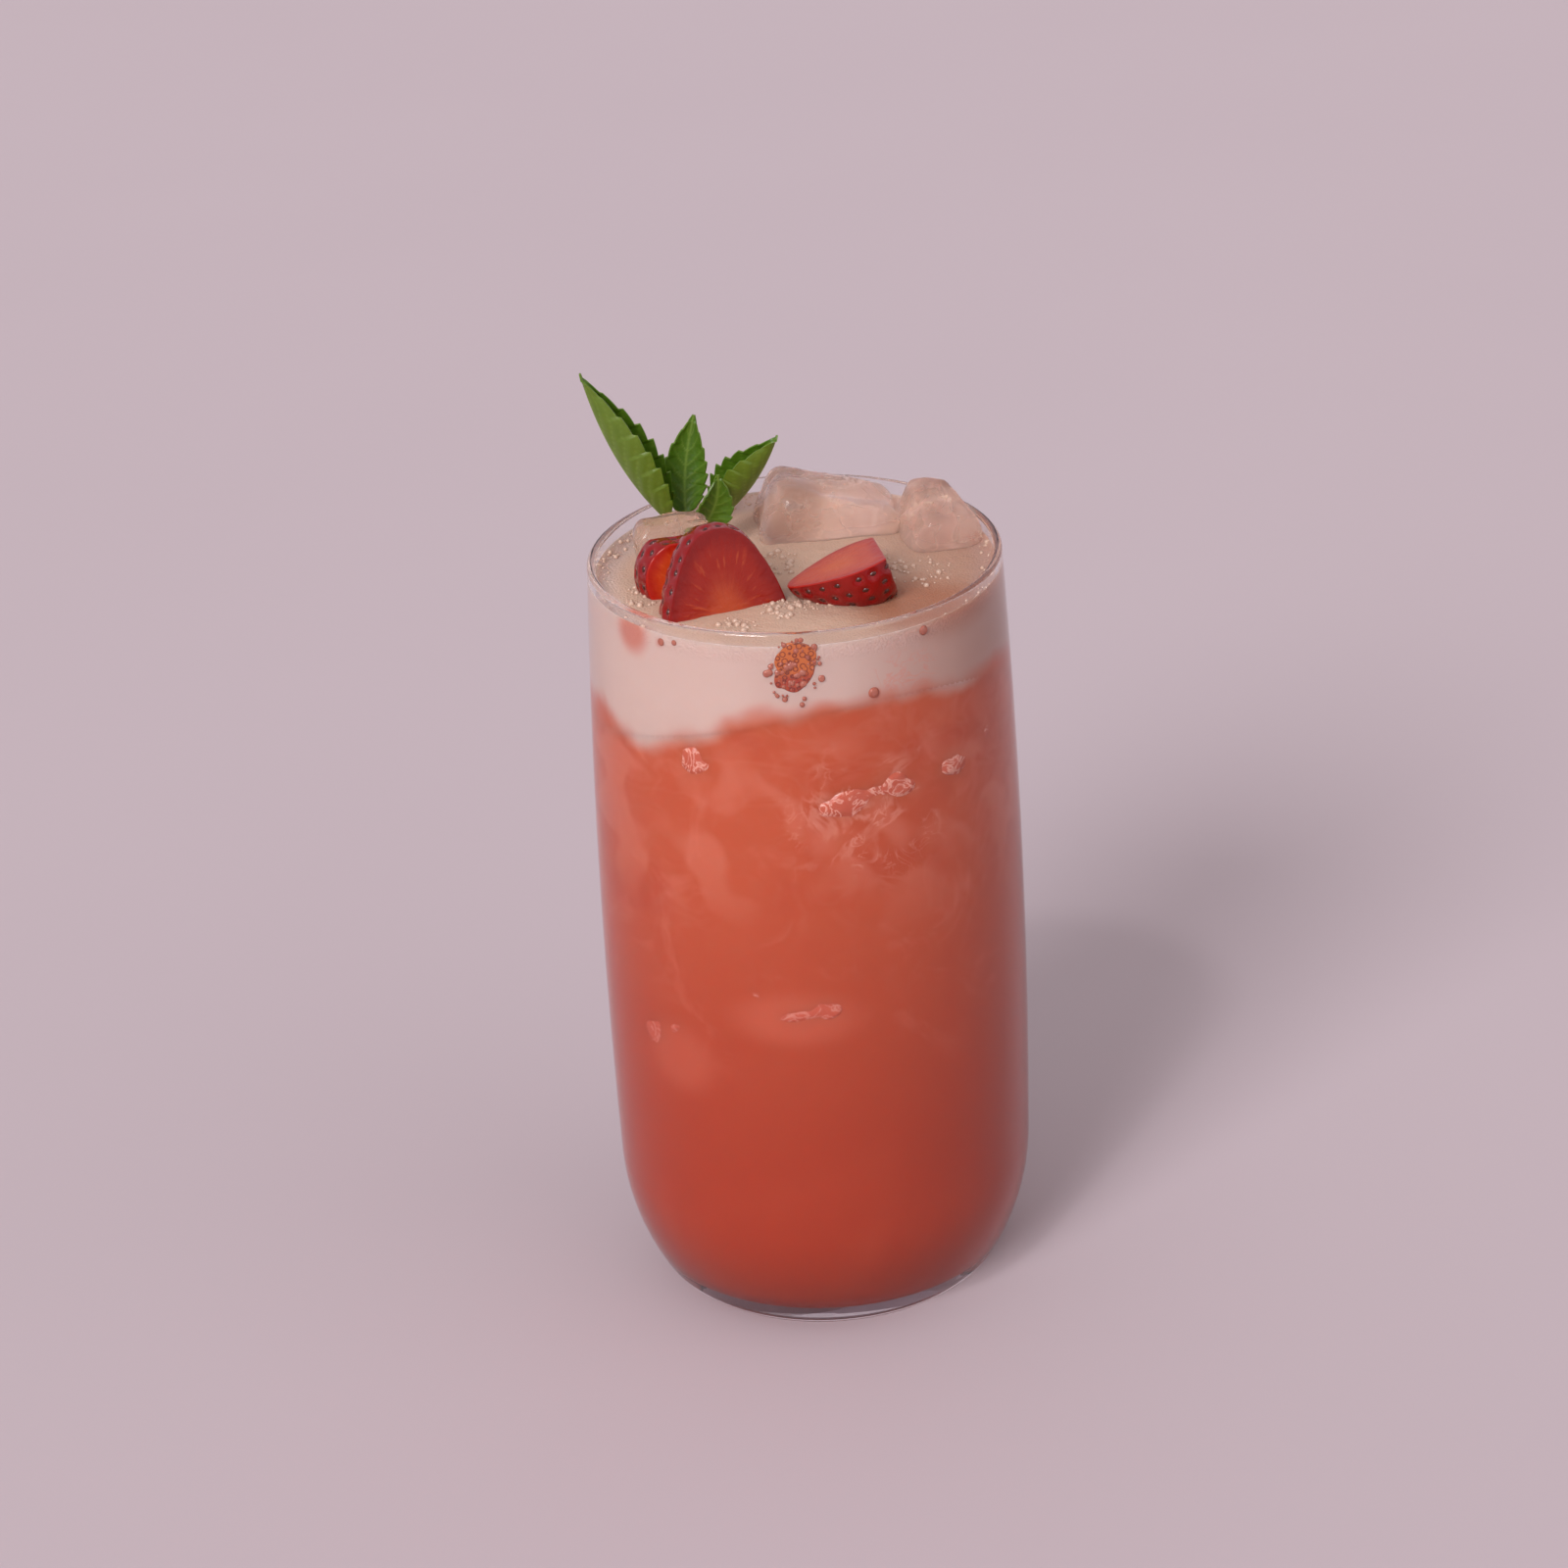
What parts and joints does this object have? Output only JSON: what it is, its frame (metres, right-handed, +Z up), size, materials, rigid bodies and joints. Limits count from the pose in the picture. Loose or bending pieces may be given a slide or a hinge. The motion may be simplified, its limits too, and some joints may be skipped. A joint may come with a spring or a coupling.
{
  "type": "glass of pink lemonade",
  "caption": "Tall clear tumbler of coral-pink iced lemonade under a pale foam, topped with ice, cut strawberry and a sprig of mint.",
  "frame": {"origin": "on the axis of the glass, in the plane its foot rests on", "axes": "+Z up along the axis of the glass; -Y towards the front, where the cut strawberries show; the mint leans towards -X"},
  "size_m": [0.0762, 0.0762, 0.1689],
  "materials": {
    "clear_glass": "clear polished soda-lime glass",
    "lemonade": "cloudy coral-pink liquid",
    "foam": "fine pale pink foam",
    "ice": "wet, slightly cloudy melting ice",
    "strawberry": "wet red skin and cut flesh",
    "mint": "fresh green veined leaf"
  },
  "bodies": {
    "root": {"glass": "clear_glass", "drink": "lemonade", "foam": "foam", "ice_large": "ice", "ice_right": "ice", "ice_left": "ice", "strawberry_left": "strawberry", "strawberry_middle": "strawberry", "strawberry_right": "strawberry", "mint_sprig": "mint"}
  },
  "joints": []
}
